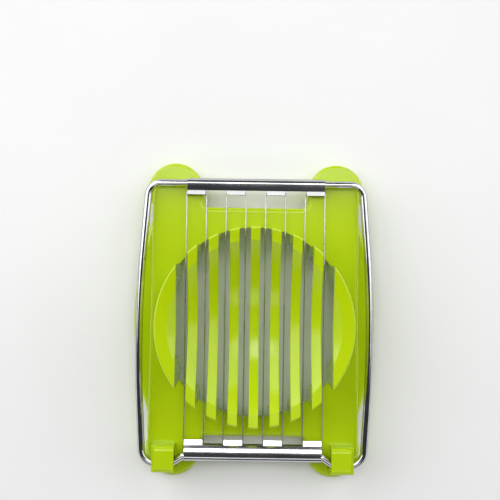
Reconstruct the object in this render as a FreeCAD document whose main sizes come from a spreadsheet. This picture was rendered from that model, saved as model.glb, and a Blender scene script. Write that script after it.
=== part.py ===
"""Egg slicer: a moulded base with a slotted bowl, and a hinged wire frame strung with cutting wire.

Row frame, millimetres: +Z up, origin under the middle of the base at the height of its feet.
The hinge is at the -Y end, the free end at +Y. The slicer is modelled closed.
"""
import FreeCAD, Part
import math
import os

from FreeCAD import Vector

doc = FreeCAD.newDocument("egg_slicer")

# Driving dimensions

DIMENSIONS = {
    "plate_width": 67.3,      # top plate, across its hinge end
    "free_width": 65.5,       # top plate, across its free end
    "plate_length": 87.3,     # top plate, hinge end to free end
    "plate_top": 11.0,        # height of the plate's top face
    "plate_thick": 2.5,
    "wall": 2.0,              # skirt wall
    "skirt_bottom": 3.0,      # lower edge of the skirt
    "corner_round": 3.0,      # plate corners in plan
    "edge_round": 1.3,        # plate's upper edge
    "notch_width": 32.9,      # finger notch at each end
    "notch_depth": 7.25,
    "notch_round": 2.0,
    "ledge_reach": 39.3,      # side ledge, from the middle plane to its widest point
    "ledge_bow": 95.0,        # plan radius of the side ledge
    "ledge_draft": 0.6,       # how much wider the side ledge is at its foot
    "ledge_top": 7.0,
    "ledge_round": 1.4,
    "foot_radius": 8.8,
    "foot_height": 4.0,
    "foot_round": 1.0,
    "foot_x": 26.15,
    "foot_y": 42.15,
    "bowl_radius": 30.0,
    "bowl_wall": 2.5,
    "bowl_top": 29.0,
    "bowl_bottom": 6.5,
    "rim_round": 0.8,
    "band_width": 4.0,        # sloping band inside the bowl's rim
    "band_drop": 0.7,
    "dish_floor": 18.0,       # lowest point of the dish
    "dish_thick": 2.0,
    "slot_width": 3.4,
    "slot_reach": 30.1,       # slots end at this radius
    "strand_pitch": 6.25,     # between neighbouring cutting strands
    "strand_dia": 0.4,
    "strand_height": 12.0,
    "strand_bend": 0.35,      # bend radius of the strand's centre line
    "frame_dia": 2.3,         # bent wire of the frame
    "frame_height": 13.0,     # frame's centre line, and the hinge axis
    "pivot_y": 44.6,          # hinge axis behind the middle
    "hinge_bar_y": 42.2,      # bar that carries the hinge comb
    "free_bar_y": 43.8,       # bar that carries the free-end comb
    "crank_start": 22.0,      # half-width where the hinge bar cranks out to the pivot
    "crank_end": 25.8,
    "crank_bend": 1.4,
    "hinge_corner": 34.85,    # half-widths of the frame, from the hinge to the free end
    "waist_back": 36.45,
    "waist_front": 36.15,
    "free_corner": 33.55,
    "waist_back_y": 14.0,     # where the bowed sides turn, behind and in front of the middle
    "waist_front_y": 12.0,
    "hinge_bend": 4.5,        # bend radii at those places
    "waist_back_bend": 400.0,
    "waist_front_bend": 340.0,
    "free_bend": 4.0,
    "lug_x": 27.7,            # hooks that hold the frame
    "lug_width": 6.2,
    "lug_back": 38.6,
    "lug_front": 47.0,
    "lug_top": 16.5,
    "lug_lip": 9.6,           # lower edge of the hook's lip
    "lug_round": 1.6,
    "flange_width": 0.9,      # lower strip along the outer side of each hook
    "flange_top": 15.0,
    "flange_gap": 0.35,       # room round the frame where it starts to bend
    "pivot_gap": 0.06,        # running clearance round the frame in its hooks
    "crank_room": 2.15,       # pocket where the turning crank enters the hook
    "crank_depth": 1.7,
    "crank_shift": 0.3,       # pocket's centre, inwards and up from the hinge axis
    "mouth_width": 1.8,       # snap-in gap under each hook
    "core_width": 4.5,        # core hole through the foot below each hook
    "comb_gap": 0.02,         # rolled comb to frame
    "sheet": 0.4,             # comb's sheet thickness
    "comb_inset": 0.275,      # outer strands past the comb's ends
    "hinge_leg": 5.2,         # comb leg's reach from its bar
    "free_leg": 3.6,
    "hinge_notch": 1.55,      # notch depth between the tabs
    "free_notch": 1.3,
    "hinge_arch": 7.8,        # radius of the comb leg's arch
    "free_arch": 12.0,
    "hinge_tab_tip": 13.19,   # height of the tabs' inner edge
    "free_tab_tip": 13.98,
    "peg_bottom": 11.3,       # lower edge of the bent-down pegs
    "peg_side": 0.25,         # strand's centre to the side of its peg
    "peg_back": 0.05,         # strand to the back of its peg
}
STRANDS = 8

sheet = doc.addObject("Spreadsheet::Sheet", "Dims")
for row, (alias, value) in enumerate(DIMENSIONS.items(), start=1):
    sheet.set(f"A{row}", alias)
    sheet.set(f"B{row}", str(value))
    sheet.setAlias(f"B{row}", alias)
doc.recompute()


def dim(alias):
    """A driving dimension's value, read back from the sheet."""
    return float(getattr(sheet, alias))


# Small makers of bound objects


def bind(thing, **expressions):
    """Bind properties to the sheet: x, y, z place it, and the rest are its own sizes."""
    for key, text in expressions.items():
        path = f"Placement.Base.{key}" if key in ("x", "y", "z") else key
        for alias in DIMENSIONS:
            text = text.replace(f"[{alias}]", f"Dims.{alias}")
        thing.setExpression(path, text)
    return thing


def box(name, **expressions):
    return bind(doc.addObject("Part::Box", name), **expressions)


def cylinder(name, **expressions):
    return bind(doc.addObject("Part::Cylinder", name), **expressions)


def cylinder_along_x(name, **expressions):
    rod = doc.addObject("Part::Cylinder", name)
    rod.Placement = FreeCAD.Placement(Vector(), FreeCAD.Rotation(Vector(0, 1, 0), 90))
    return bind(rod, **expressions)


def cone(name, **expressions):
    return bind(doc.addObject("Part::Cone", name), **expressions)


def sphere(name, **expressions):
    return bind(doc.addObject("Part::Sphere", name), **expressions)


def fuse(name, *things):
    joined = doc.addObject("Part::MultiFuse", name)
    joined.Shapes = list(things)
    return joined


def cut(name, base, tool):
    result = doc.addObject("Part::Cut", name)
    result.Base = base
    result.Tool = tool
    return result


def common(name, first, second):
    result = doc.addObject("Part::MultiCommon", name)
    result.Shapes = [first, second]
    return result


def compound(name, things):
    group = doc.addObject("Part::Compound", name)
    group.Links = list(things)
    return group


def fillet(name, base, radius, wanted):
    """Round the edges of base for which wanted(edge) is true."""
    doc.recompute()
    rounded = doc.addObject("Part::Fillet", name)
    rounded.Base = base
    picked = [i for i, edge in enumerate(base.Shape.Edges, start=1) if wanted(edge)]
    rounded.Edges = [(i, radius, radius) for i in picked]
    doc.recompute()
    return rounded


CLOSE = 1e-4


def upright(edge):
    """True for a straight vertical edge."""
    return isinstance(edge.Curve, Part.Line) and abs(edge.Curve.Direction.z) > 1 - CLOSE


def at_height(edge, height):
    return all(abs(v.Point.z - height) < CLOSE for v in edge.Vertexes)


def at_side(edge, half_width):
    return all(abs(abs(v.Point.x) - half_width) < CLOSE for v in edge.Vertexes)


def at_end(edge, half_length):
    return all(abs(abs(v.Point.y) - half_length) < CLOSE for v in edge.Vertexes)


ENDS = {"free": 1, "hinge": -1}
SIDES = {"left": -1, "right": 1}


# Base: plate, skirt and side ledges


def make_footprint(name, bottom):
    """Plate's tapered outline with rounded corners, from a given height to the plate's top."""
    block = bind(
        doc.addObject("Part::Wedge", f"{name}_block"),
        Xmin="-[plate_width]/2", Xmax="[plate_width]/2", X2min="-[free_width]/2", X2max="[free_width]/2",
        Ymin="-[plate_length]/2", Ymax="[plate_length]/2",
        Zmin=bottom, Zmax="[plate_top]", Z2min=bottom, Z2max="[plate_top]",
    )
    return fillet(f"{name}_corners", block, dim("corner_round"), upright)


def make_notch(name, sign, grow):
    """Block that fills the finger notch of one end, grown by a wall where asked."""
    inner = f"[plate_length]/2 - [notch_depth] - {grow}"
    return box(
        name, Length=f"[notch_width] + 2*{grow}", Width="[plate_length]",
        Height="2*[plate_top]", x=f"-[notch_width]/2 - {grow}",
        y=inner if sign > 0 else f"-({inner}) - [plate_length]",
    )


def make_plate():
    """Outer form of the plate and skirt, with a finger notch at each end."""
    notches = [make_notch(f"{end}_notch", sign, "0") for end, sign in ENDS.items()]
    outline = make_footprint("plate", "[skirt_bottom]")
    notched = cut("plate_notched", outline, compound("notches", notches))
    inner_y = dim("plate_length") / 2 - dim("notch_depth")
    eased = fillet(
        "plate_eased", notched, dim("notch_round"),
        lambda e: upright(e) and at_side(e, dim("notch_width") / 2) and at_end(e, inner_y),
    )
    outer_y = dim("plate_length") / 2
    eased = fillet(
        "plate_shoulders", eased, dim("notch_round"),
        lambda e: upright(e) and at_side(e, dim("notch_width") / 2) and at_end(e, outer_y),
    )
    return fillet(
        "plate_rounded", eased, dim("edge_round"), lambda e: at_height(e, dim("plate_top")),
    )


def make_ledge(side, sign, inset, suffix):
    """Bowed side ledge: a slice of a wide cone, inset by a wall for its hollow."""
    bow = cone(
        f"{side}_ledge_bow{suffix}", Radius1=f"[ledge_bow] - {inset}",
        Radius2=f"[ledge_bow] - [ledge_draft] - {inset}",
        Height=f"[ledge_top] - [skirt_bottom] - {inset}", z="[skirt_bottom]",
        x=f"{sign}*([ledge_reach] - [ledge_bow])",
    )
    reach = "([ledge_reach] - [plate_width]/2 + 2*[wall])"
    block = box(
        f"{side}_ledge_block{suffix}", Length=reach, Width="[plate_length]",
        Height="[plate_top]", y="-[plate_length]/2",
        x="[ledge_reach]" + f" - {reach}" if sign > 0 else "-[ledge_reach]",
    )
    return common(f"{side}_ledge{suffix}", bow, block)


def make_shell():
    """Plate and ledges, hollow underneath."""
    plate = make_plate()
    ledges = []
    hollows = []
    for side, sign in SIDES.items():
        ledge = make_ledge(side, sign, "0", "")
        ledges.append(fillet(
            f"{side}_ledge_rounded", ledge, dim("ledge_round"),
            lambda e: at_height(e, dim("ledge_top")) and not isinstance(e.Curve, Part.Line),
        ))
        hollows.append(make_ledge(side, sign, "[wall]", "_hollow"))
    cavity = box(
        "cavity_block", Length="[free_width] - 2*[wall]", Width="[plate_length] - 2*[wall]",
        Height="[plate_top] - [plate_thick]", x="-[free_width]/2 + [wall]",
        y="-[plate_length]/2 + [wall]",
    )
    walls = [make_notch(f"{end}_notch_wall", sign, "[wall]") for end, sign in ENDS.items()]
    cavity = cut("cavity", cavity, compound("notch_walls", walls))
    return cut("shell", fuse("shell_form", plate, *ledges), fuse("hollow", cavity, *hollows))


# Base: feet and hinge hooks


def make_foot(name, side, end, footprint):
    """Round foot with a leg that stays inside the plate's outline."""
    disc = cylinder(
        f"{name}_disc", Radius="[foot_radius]", Height="[foot_height]",
        x=f"{side}*[foot_x]", y=f"{end}*[foot_y]",
    )
    pad = fillet(f"{name}_pad", disc, dim("foot_round"), lambda e: at_height(e, dim("foot_height")))
    post = cylinder(
        f"{name}_post", Radius="[foot_radius]", Height="[plate_top] - [edge_round]",
        x=f"{side}*[foot_x]", y=f"{end}*[foot_y]",
    )
    return fuse(f"{name}_foot", pad, common(f"{name}_leg", post, footprint))


def make_feet():
    footprint = make_footprint("leg_outline", "0")
    return [
        make_foot(f"{end}_{side}", SIDES[side], ENDS[end], footprint)
        for end in ENDS for side in SIDES
    ]


def lug_start(sign):
    """Expression for the lower x of a hook."""
    return "[lug_x] - [lug_width]/2" if sign > 0 else "-[lug_x] - [lug_width]/2"


def flange_start(sign):
    """Expression for the lower x of a hook's outer strip."""
    return "[lug_x] + [lug_width]/2" if sign > 0 else "-[lug_x] - [lug_width]/2 - [flange_width]"


def make_lug(side, sign):
    """Hook that holds the frame's wire: it reaches over the wire and down in front of it."""
    depth = {"Width": "[lug_front] - [lug_back]", "y": "-[lug_front]", "z": "[lug_lip]"}
    block = box(
        f"{side}_lug_block", Length="[lug_width]", Height="[lug_top] - [lug_lip]",
        x=lug_start(sign), **depth,
    )
    rounded = fillet(
        f"{side}_lug_rounded", block, dim("lug_round"),
        lambda e: at_height(e, dim("lug_top")) and abs(e.Curve.Direction.x) > 1 - CLOSE,
    )
    flange = box(
        f"{side}_flange", Length="[flange_width]", Height="[flange_top] - [lug_lip]",
        x=flange_start(sign), **depth,
    )
    return fuse(f"{side}_lug", rounded, flange)


def make_hook_tools():
    """For each hook its bore, the crank's pocket, the snap-in mouth and the foot's core hole."""
    tools = []
    for side, sign in SIDES.items():
        axis = {"y": "-[pivot_y]", "z": "[frame_height]"}
        whole_start = lug_start(sign) if sign > 0 else flange_start(sign)
        tools.append(cylinder_along_x(
            f"{side}_pivot_bore", Radius="[frame_dia]/2 + [pivot_gap]", Height="[lug_width]",
            x=lug_start(sign), **axis,
        ))
        tools.append(cylinder_along_x(
            f"{side}_flange_bore", Radius="[frame_dia]/2 + [flange_gap]", Height="[flange_width]",
            x=flange_start(sign), **axis,
        ))
        inner_side = "[lug_x] - [lug_width]/2"
        tools.append(cylinder_along_x(
            f"{side}_crank_pocket", Radius="[crank_room]", Height="[crank_depth]",
            x=inner_side if sign > 0 else f"-({inner_side}) - [crank_depth]",
            y="-[pivot_y] + [crank_shift]", z="[frame_height] + [crank_shift]",
        ))
        tools.append(box(
            f"{side}_mouth", Length="[lug_width] + [flange_width]", Width="[mouth_width]",
            Height="[frame_height] - [foot_height]", x=whole_start,
            y="-[pivot_y] - [mouth_width]/2", z="[foot_height]",
        ))
        tools.append(box(
            f"{side}_core_hole", Length="[lug_width]", Width="[core_width]",
            Height="[lug_lip]", x=lug_start(sign), y="-[plate_length]/2 - [core_width]",
        ))
    return compound("hook_tools", tools)


# Base: bowl


def strand_x(i):
    """Expression for the x of one strand and of its slot."""
    return f"({i} - {(STRANDS - 1) / 2})*[strand_pitch]"


def make_bowl_tools():
    """Dish, sloping band, hollow under the dish, and the slots that the strands drop through."""
    rise = "([bowl_top] - [band_drop] - [dish_floor])"
    reach = "([bowl_radius] - [band_width])"
    radius = f"(({reach}^2 + {rise}^2) / (2*{rise}))"
    dish = sphere("dish", Radius=radius, z=f"[dish_floor] + {radius}")
    band = cone(
        "rim_band", Radius1=reach, Radius2="[bowl_radius]", Height="[band_drop]",
        z="[bowl_top] - [band_drop]",
    )
    under = cylinder("bowl_bore", Radius="[bowl_radius] - [bowl_wall]", Height="[bowl_top]")
    shell = sphere(
        "dish_shell", Radius=f"{radius} + [dish_thick]", z=f"[dish_floor] + {radius}",
    )
    strips = [
        box(
            f"slot_strip_{i + 1}", Length="[slot_width]", Width="2*[slot_reach]",
            Height="2*[bowl_top]", x=f"{strand_x(i)} - [slot_width]/2", y="-[slot_reach]",
        )
        for i in range(STRANDS)
    ]
    well = cylinder("slot_well", Radius="[slot_reach]", Height="2*[bowl_top]")
    slots = common("slots", compound("slot_strips", strips), well)
    return [dish, band, cut("bowl_hollow", under, shell), slots]


def make_base():
    drum = cylinder(
        "bowl_drum", Radius="[bowl_radius]", Height="[bowl_top] - [bowl_bottom]", z="[bowl_bottom]",
    )
    rimmed = fillet("bowl_rim", drum, dim("rim_round"), lambda e: at_height(e, dim("bowl_top")))
    lugs = [make_lug(side, sign) for side, sign in SIDES.items()]
    shape = fuse("base_solid", make_shell(), rimmed, *make_feet(), *lugs)
    for tool in make_bowl_tools() + [make_hook_tools()]:
        shape = cut(f"base_less_{tool.Name}", shape, tool)
    return shape


# Wires along paths of lines joined by tangent arcs


def rounded_path(points, radii):
    """A wire through points whose inner corners are tangent arcs of the given radii."""
    edges = []
    start = points[0]
    for corner, after, radius in zip(points[1:-1], points[2:], radii):
        into = (corner - start).normalize()
        out = (after - corner).normalize()
        turn = into.getAngle(out)
        reach = radius * math.tan(turn / 2)
        first = corner - into * reach
        if (first - start).dot(into) < 0:
            raise ValueError("two bends of a path overlap")
        last = corner + out * reach
        towards = (out - into).normalize()
        middle = corner + towards * (radius / math.cos(turn / 2) - radius)
        edges.append(Part.LineSegment(start, first).toShape())
        edges.append(Part.Arc(first, middle, last).toShape())
        start = last
    edges.append(Part.LineSegment(start, points[-1]).toShape())
    return Part.Wire(edges)


VOLUME_SLACK = 0.02  # a swept rod's volume may differ this much from its length times its section


def swept_rod(name, path, diameter):
    """A round rod along a path, with its ends square."""
    begin = path.Edges[0]
    tangent = begin.tangentAt(begin.FirstParameter)
    ring = Part.Circle(begin.valueAt(begin.FirstParameter), tangent, diameter / 2)
    rod = doc.addObject("Part::Feature", name)
    rod.Shape = path.makePipeShell([Part.Wire([ring.toShape()])], True, False)
    expected = math.pi * diameter ** 2 / 4 * path.Length
    if abs(rod.Shape.Volume / expected - 1) > VOLUME_SLACK:
        raise ValueError(f"{name} has the wrong volume for its length")
    return rod


# Frame: one length of wire, bent into a loop whose ends meet inside the hinge comb

FRAME_SEAM = 0.2  # half the gap where the wire's ends meet


def make_frame():
    hinge_bar, pivot, free_bar = -dim("hinge_bar_y"), -dim("pivot_y"), dim("free_bar_y")
    # half of the loop: x, y and the bend radius at each corner
    half = [
        (FRAME_SEAM, hinge_bar, None),
        (dim("crank_start"), hinge_bar, dim("crank_bend")),
        (dim("crank_end"), pivot, dim("crank_bend")),
        (dim("hinge_corner"), pivot, dim("hinge_bend")),
        (dim("waist_back"), -dim("waist_back_y"), dim("waist_back_bend")),
        (dim("waist_front"), dim("waist_front_y"), dim("waist_front_bend")),
        (dim("free_corner"), free_bar, dim("free_bend")),
    ]
    loop = half + [(-x, y, bend) for x, y, bend in reversed(half)]
    points = [Vector(x, y, dim("frame_height")) for x, y, _ in loop]
    bends = [bend for _, _, bend in loop[1:-1]]
    return swept_rod("frame_wire", rounded_path(points, bends), dim("frame_dia"))


# Cutting wire: one length, laced round the pegs of the two combs

TAIL_LENGTH = 2.5   # each end of the wire, tucked under the hinge comb
TAIL_GAP = 0.3      # tail's centre to the flank of the comb's roll


def make_cutting_wire():
    height = dim("strand_height")
    behind_peg = dim("sheet") + dim("peg_back") + dim("strand_dia") / 2
    free_turn = dim("free_bar_y") - dim("free_leg") + behind_peg
    hinge_turn = -(dim("hinge_bar_y") - dim("hinge_leg") + dim("hinge_notch") + behind_peg)
    roll = dim("frame_dia") / 2 + dim("comb_gap") + dim("sheet")
    flank = math.sqrt(roll ** 2 - (dim("frame_height") - height) ** 2)
    tail_y = -dim("hinge_bar_y") + flank + TAIL_GAP
    xs = [(i - (STRANDS - 1) / 2) * dim("strand_pitch") for i in range(STRANDS)]
    points = [Vector(xs[0] + TAIL_LENGTH, tail_y, height)]
    for i, x in enumerate(xs):
        hinge_y = tail_y if i in (0, STRANDS - 1) else hinge_turn
        run = [hinge_y, free_turn] if i % 2 == 0 else [free_turn, hinge_y]
        points += [Vector(x, y, height) for y in run]
    points.append(Vector(xs[-1] - TAIL_LENGTH, tail_y, height))
    bends = [dim("strand_bend")] * (len(points) - 2)
    return swept_rod("cutting_wire", rounded_path(points, bends), dim("strand_dia"))


# Combs: sheet rolled over the frame's end bars, with pegs that hold the wire

OUTER_GAPS = range(0, STRANDS - 1, 2)  # gaps between strands that are closed at the free end
INNER_GAPS = range(1, STRANDS - 1, 2)  # gaps that are closed at the hinge end
COMB_CREST = "[frame_height] + [frame_dia]/2 + [comb_gap] + [sheet]"
HALF_COMB = f"([strand_pitch]*{(STRANDS - 1) / 2} - [comb_inset])"


def make_strip(name, end, outer, inner, left, right):
    """Sloping strip of sheet between two (distance, height) pairs, measured towards an end."""
    low, high = (inner, outer) if ENDS[end] > 0 else (outer, inner)
    return bind(
        doc.addObject("Part::Wedge", name), Xmin=left, Xmax=right, X2min=left, X2max=right,
        Ymin=f"{ENDS[end]}*{low[0]}", Ymax=f"{ENDS[end]}*{high[0]}",
        Zmin=f"{low[1]} - [sheet]", Zmax=low[1], Z2min=f"{high[1]} - [sheet]", Z2max=high[1],
    )


def leg_end(end):
    """Distance and height of the line where a comb's leg ends and its tabs start."""
    reach = f"([{end}_leg] - [{end}_notch])"
    height = f"({COMB_CREST} - [{end}_arch] + sqrt([{end}_arch]^2 - {reach}^2))"
    return f"([{end}_bar_y] - {reach})", height


def make_leg(end):
    """Arched leg of a comb: a slice of a wide tube whose crest lies over the bar."""
    sign = ENDS[end]
    middle = {"x": f"-{HALF_COMB}", "z": f"{COMB_CREST} - [{end}_arch]"}
    along = {"Height": f"2*{HALF_COMB}", "y": f"{sign}*[{end}_bar_y]", **middle}
    outer = cylinder_along_x(f"{end}_leg_outer", Radius=f"[{end}_arch]", **along)
    inner = cylinder_along_x(f"{end}_leg_inner", Radius=f"[{end}_arch] - [sheet]", **along)
    span = box(
        f"{end}_leg_span", Length=f"2*{HALF_COMB}", Width=f"[{end}_leg] - [{end}_notch]",
        Height=f"[{end}_arch]", y=leg_end(end)[0] if sign > 0 else f"-[{end}_bar_y]", **middle,
    )
    return common(f"{end}_leg_arch", cut(f"{end}_leg_tube", outer, inner), span)


def make_comb(end, pegged, peg_line, peg_top):
    """Comb of one end: a roll, its leg, tabs, and pegs at the given gaps between strands."""
    sign = ENDS[end]
    inner = "([frame_dia]/2 + [comb_gap])"
    axis = {"y": f"{sign}*[{end}_bar_y]", "z": "[frame_height]", "x": f"-{HALF_COMB}"}
    roll = cylinder_along_x(
        f"{end}_roll", Radius=f"{inner} + [sheet]", Height=f"2*{HALF_COMB}", **axis,
    )
    bore = cylinder_along_x(f"{end}_roll_bore", Radius=inner, Height=f"2*{HALF_COMB}", **axis)
    tip = (f"([{end}_bar_y] - [{end}_leg])", f"[{end}_tab_tip]")
    pieces = [roll, make_leg(end)]
    for i in OUTER_GAPS:
        left = f"({strand_x(i)} + [peg_side])"
        right = f"({strand_x(i + 1)} - [peg_side])"
        pieces.append(make_strip(f"{end}_tab_{i + 1}", end, leg_end(end), tip, left, right))
    for i in pegged:
        pieces.append(box(
            f"{end}_peg_{i + 1}", Length="[strand_pitch] - 2*[peg_side]", Width="[sheet]",
            Height=f"{peg_top} - [peg_bottom]", x=f"{strand_x(i)} + [peg_side]", z="[peg_bottom]",
            y=peg_line if sign > 0 else f"-{peg_line} - [sheet]",
        ))
    return cut(f"{end}_comb_bored", fuse(f"{end}_comb_sheet", *pieces), bore)


# Build, check and write

nodes = {
    "base": make_base(),
    "frame_wire": make_frame(),
    "cutting_wire": make_cutting_wire(),
    "free_end_comb": make_comb("free", OUTER_GAPS, "([free_bar_y] - [free_leg])", "[free_tab_tip]"),
    "hinge_end_comb": make_comb("hinge", INNER_GAPS, *leg_end("hinge")),
}
doc.recompute()

for thing in doc.Objects:
    if "Invalid" in thing.State or "Error" in thing.State:
        raise RuntimeError(f"{thing.Name} failed: {thing.State}")
os.makedirs("parts", exist_ok=True)
for label, node in nodes.items():
    node.Label = label
    shape = node.Shape
    if shape.isNull() or not shape.isValid():
        raise RuntimeError(f"{label} has no valid shape")
    if len(shape.Solids) != 1:
        raise RuntimeError(f"{label} has {len(shape.Solids)} solids, and it is one piece")
    shape.exportStep(f"parts/{label}.step")
    print(f"{label}: {shape.Volume / 1000:.3f} cm3, {len(shape.Faces)} faces")
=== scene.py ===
import math

import bpy
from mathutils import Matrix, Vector

# Looks of the egg slicer: materials for its CAD nodes, a pale studio and the photo's camera.
# Lengths are in metres, colours are linear and lamp powers are in watts.

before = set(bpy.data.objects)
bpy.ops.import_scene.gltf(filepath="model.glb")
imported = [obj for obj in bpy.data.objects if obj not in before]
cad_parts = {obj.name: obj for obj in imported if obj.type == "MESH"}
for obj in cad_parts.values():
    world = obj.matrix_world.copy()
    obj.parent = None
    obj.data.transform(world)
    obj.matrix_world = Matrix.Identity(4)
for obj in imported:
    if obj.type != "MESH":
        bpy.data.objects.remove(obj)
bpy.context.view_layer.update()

# Materials

LIME_TONE = (0.46, 0.63, 0.002)
LIME_SPREAD = (0.025, 0.03, 0.001)
CHROME_TONE = (0.62, 0.63, 0.64)
STEEL_TONE = (0.60, 0.60, 0.60)
METAL_SPREAD = (0.06, 0.06, 0.06)
# What a metal mirrors at a flat angle: less, so that its outline shows against white
METAL_EDGE = (0.35, 0.35, 0.37, 1.0)
FLOOR_TONE = (0.875, 0.875, 0.875)
FLOOR_SPREAD = (0.015, 0.015, 0.015)

# The stretch of the noise's values over which a colour goes from its dark to its light shade
SHADE_FROM = 0.3
SHADE_TO = 0.7

# Distances from the middle of the floor between which it turns white
FADE_FROM = 0.14
FADE_TO = 0.38

# How much the noise is drawn out along a metal's length: a smaller number gives longer streaks
EVEN = (1.0, 1.0, 1.0)
ALONG_X = (0.2, 1.0, 1.0)
ALONG_Y = (1.0, 0.1, 1.0)


def new_material(name):
    """Make a node material; return it with its tree and its shader."""
    material = bpy.data.materials.new(name)
    material.use_nodes = True
    tree = material.node_tree
    return material, tree, tree.nodes["Principled BSDF"]


def add(tree, kind, **settings):
    """Add a node; a setting is the value of an input of that name, or else of a property."""
    node = tree.nodes.new(kind)
    for key, value in settings.items():
        if key in node.inputs:
            node.inputs[key].default_value = value
        else:
            setattr(node, key, value)
    return node


def math_node(tree, operation, first, second):
    """Combine two outputs; return the result's output."""
    node = add(tree, "ShaderNodeMath", operation=operation)
    tree.links.new(first, node.inputs[0])
    tree.links.new(second, node.inputs[1])
    return node.outputs["Value"]


def noise(tree, scale, detail, stretch=EVEN):
    """Noise in the object's own coordinates, stretched along its axes."""
    place = add(tree, "ShaderNodeTexCoord")
    mapping = add(tree, "ShaderNodeMapping", Scale=stretch)
    texture = add(tree, "ShaderNodeTexNoise", Scale=scale, Detail=detail)
    tree.links.new(place.outputs["Object"], mapping.inputs["Vector"])
    tree.links.new(mapping.outputs["Vector"], texture.inputs["Vector"])
    return texture


def vary_colour(tree, texture, shader, tone, spread):
    """Let a texture move the shader's colour about a tone, by the spread either way."""
    ramp = add(tree, "ShaderNodeValToRGB")
    dark, light = ramp.color_ramp.elements
    dark.position = SHADE_FROM
    light.position = SHADE_TO
    dark.color = (*[value - step for value, step in zip(tone, spread)], 1.0)
    light.color = (*[value + step for value, step in zip(tone, spread)], 1.0)
    tree.links.new(texture.outputs["Fac"], ramp.inputs["Fac"])
    tree.links.new(ramp.outputs["Color"], shader.inputs["Base Color"])
    shader.inputs["Base Color"].default_value = (*tone, 1.0)


def vary_roughness(tree, texture, shader, low, high):
    """Let a texture move the shader's roughness between two values."""
    spread = add(tree, "ShaderNodeMapRange")
    spread.inputs["To Min"].default_value = low
    spread.inputs["To Max"].default_value = high
    tree.links.new(texture.outputs["Fac"], spread.inputs["Value"])
    tree.links.new(spread.outputs["Result"], shader.inputs["Roughness"])
    shader.inputs["Roughness"].default_value = (low + high) / 2


def soften(tree, texture, shader, edge_radius, strength, depth):
    """Give the surface rounded-looking edges and a faint relief."""
    bevel = add(tree, "ShaderNodeBevel", Radius=edge_radius, samples=6)
    bump = add(tree, "ShaderNodeBump", Strength=strength, Distance=depth)
    tree.links.new(texture.outputs["Fac"], bump.inputs["Height"])
    tree.links.new(bevel.outputs["Normal"], bump.inputs["Normal"])
    tree.links.new(bump.outputs["Normal"], shader.inputs["Normal"])


def make_plastic():
    """Glossy moulded plastic that lets a little light in."""
    material, tree, shader = new_material("lime_plastic")
    clouds = noise(tree, scale=30.0, detail=2.0)
    grain = noise(tree, scale=350.0, detail=3.0)
    vary_colour(tree, clouds, shader, LIME_TONE, LIME_SPREAD)
    vary_roughness(tree, clouds, shader, low=0.13, high=0.19)
    soften(tree, grain, shader, edge_radius=0.0004, strength=0.05, depth=0.0002)
    shader.inputs["IOR"].default_value = 1.46
    shader.inputs["Subsurface Weight"].default_value = 0.12
    shader.inputs["Subsurface Radius"].default_value = (0.9, 1.0, 0.1)
    shader.inputs["Subsurface Scale"].default_value = 0.002
    return material


def make_metal(name, tone, stretch, low, high):
    """Bright metal with its roughness between low and high."""
    material, tree, shader = new_material(name)
    grain = noise(tree, scale=400.0, detail=3.0, stretch=stretch)
    vary_colour(tree, grain, shader, tone, METAL_SPREAD)
    vary_roughness(tree, grain, shader, low, high)
    soften(tree, grain, shader, edge_radius=0.0001, strength=0.02, depth=0.00005)
    shader.inputs["Metallic"].default_value = 1.0
    shader.inputs["Specular Tint"].default_value = METAL_EDGE
    return material


def fade_to_white(tree, shader):
    """Where it is seen directly or mirrored, let the floor turn white away from the object."""
    place = add(tree, "ShaderNodeTexCoord")
    reach = add(tree, "ShaderNodeVectorMath", operation="LENGTH")
    spread = add(tree, "ShaderNodeMapRange", interpolation_type="SMOOTHSTEP")
    spread.inputs["From Min"].default_value = FADE_FROM
    spread.inputs["From Max"].default_value = FADE_TO
    tree.links.new(place.outputs["Object"], reach.inputs[0])
    tree.links.new(reach.outputs["Value"], spread.inputs["Value"])
    path = add(tree, "ShaderNodeLightPath").outputs
    seen = math_node(tree, "MAXIMUM", path["Is Camera Ray"], path["Is Glossy Ray"])
    seen = math_node(tree, "MAXIMUM", seen, path["Is Transmission Ray"])
    share = math_node(tree, "MULTIPLY", spread.outputs["Result"], seen)
    white = add(tree, "ShaderNodeEmission", Strength=1.0)
    mix = add(tree, "ShaderNodeMixShader")
    tree.links.new(share, mix.inputs["Fac"])
    tree.links.new(shader.outputs["BSDF"], mix.inputs[1])
    tree.links.new(white.outputs["Emission"], mix.inputs[2])
    tree.links.new(mix.outputs["Shader"], tree.nodes["Material Output"].inputs["Surface"])


def make_floor_material():
    """Matt, pale floor."""
    material, tree, shader = new_material("pale_floor")
    clouds = noise(tree, scale=12.0, detail=2.0)
    vary_colour(tree, clouds, shader, FLOOR_TONE, FLOOR_SPREAD)
    shader.inputs["Roughness"].default_value = 0.7
    fade_to_white(tree, shader)
    return material


def paint(node, material):
    """Give a CAD node its material."""
    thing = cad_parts[node]
    thing.data.materials.clear()
    thing.data.materials.append(material)


chrome_wire = make_metal("chrome_wire", CHROME_TONE, EVEN, low=0.06, high=0.12)
chrome_sheet = make_metal("chrome_sheet", CHROME_TONE, ALONG_X, low=0.10, high=0.18)
steel_wire = make_metal("steel_wire", STEEL_TONE, ALONG_Y, low=0.22, high=0.32)
paint("base", make_plastic())
paint("frame_wire", chrome_wire)
paint("free_end_comb", chrome_sheet)
paint("hinge_end_comb", chrome_sheet)
paint("cutting_wire", steel_wire)

# Floor, light and camera

FLOOR_SIZE = 4.0
# The floor lies a little under the feet, so that the two faces don't flicker
FLOOR_HEIGHT = -0.0002

# The sky by the height of a direction, which is 1 straight up: white low down and dark overhead,
# so that the chrome mirrors both
SKY_WHITE_BELOW = 0.12
SKY_DARK_ABOVE = 0.45
SKY_WHITE = (1.0, 1.0, 1.0, 1.0)
SKY_DARK = (0.04, 0.04, 0.045, 1.0)

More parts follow.
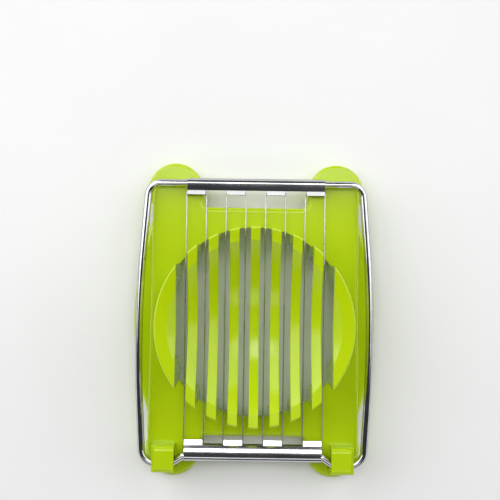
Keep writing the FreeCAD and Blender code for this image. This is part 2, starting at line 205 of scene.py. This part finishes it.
# The lamps are turned towards this point
AIM = Vector((0.0, 0.0, 0.01))
LAMPS = {
    "key": {"place": (-0.60, 0.42, 0.55), "width": 1.0, "height": 0.9, "power": 6.6},
    "fill": {"place": (0.62, 0.36, 0.55), "width": 1.0, "height": 0.9, "power": 4.6},
    "top": {"place": (0.0, 0.22, 0.8), "width": 0.5, "height": 0.2, "power": 1.7},
    "rear": {"place": (0.0, -0.43, 0.8), "width": 0.6, "height": 0.2, "power": 0.6},
}

# The photo looks straight down; these were fitted to it. Lens and sensor are in millimetres
CAMERA_PLACE = (-0.00167, 0.02295, 0.270)
CAMERA_ROLL = math.radians(0.8)
CAMERA_LENS = 58.7
SENSOR_WIDTH = 36.0
CLIP_START = 0.01


def add_floor():
    """Lay the floor under the slicer."""
    bpy.ops.mesh.primitive_plane_add(size=FLOOR_SIZE, location=(0.0, 0.0, FLOOR_HEIGHT))
    floor = bpy.context.object
    floor.name = "floor"
    floor.data.materials.append(make_floor_material())


def add_world():
    """Light the scene from a sky that goes from white to dark with height."""
    world = bpy.data.worlds.new("studio")
    world.use_nodes = True
    tree = world.node_tree
    place = add(tree, "ShaderNodeTexCoord")
    split = add(tree, "ShaderNodeSeparateXYZ")
    ramp = add(tree, "ShaderNodeValToRGB")
    low, high = ramp.color_ramp.elements
    low.position = SKY_WHITE_BELOW
    low.color = SKY_WHITE
    high.position = SKY_DARK_ABOVE
    high.color = SKY_DARK
    backdrop = tree.nodes["Background"]
    backdrop.inputs["Strength"].default_value = 1.0
    tree.links.new(place.outputs["Generated"], split.inputs["Vector"])
    tree.links.new(split.outputs["Z"], ramp.inputs["Fac"])
    tree.links.new(ramp.outputs["Color"], backdrop.inputs["Color"])
    bpy.context.scene.world = world


def add_lamp(name, place, width, height, power):
    """Hang a rectangular lamp that faces the slicer."""
    data = bpy.data.lights.new(name, "AREA")
    data.shape = "RECTANGLE"
    data.size = width
    data.size_y = height
    data.energy = power
    lamp = bpy.data.objects.new(name, data)
    lamp.location = place
    lamp.rotation_euler = (AIM - Vector(place)).to_track_quat("-Z", "Y").to_euler()
    bpy.context.scene.collection.objects.link(lamp)


def add_camera():
    """Set the camera at the photo's view."""
    data = bpy.data.cameras.new("camera")
    data.sensor_width = SENSOR_WIDTH
    data.lens = CAMERA_LENS
    data.clip_start = CLIP_START
    camera = bpy.data.objects.new("camera", data)
    camera.location = CAMERA_PLACE
    camera.rotation_euler = (0.0, 0.0, CAMERA_ROLL)
    bpy.context.scene.collection.objects.link(camera)
    bpy.context.scene.camera = camera


add_floor()
add_world()
for lamp_name, lamp_values in LAMPS.items():
    add_lamp(lamp_name, **lamp_values)
add_camera()
bpy.context.scene.view_settings.view_transform = "Standard"
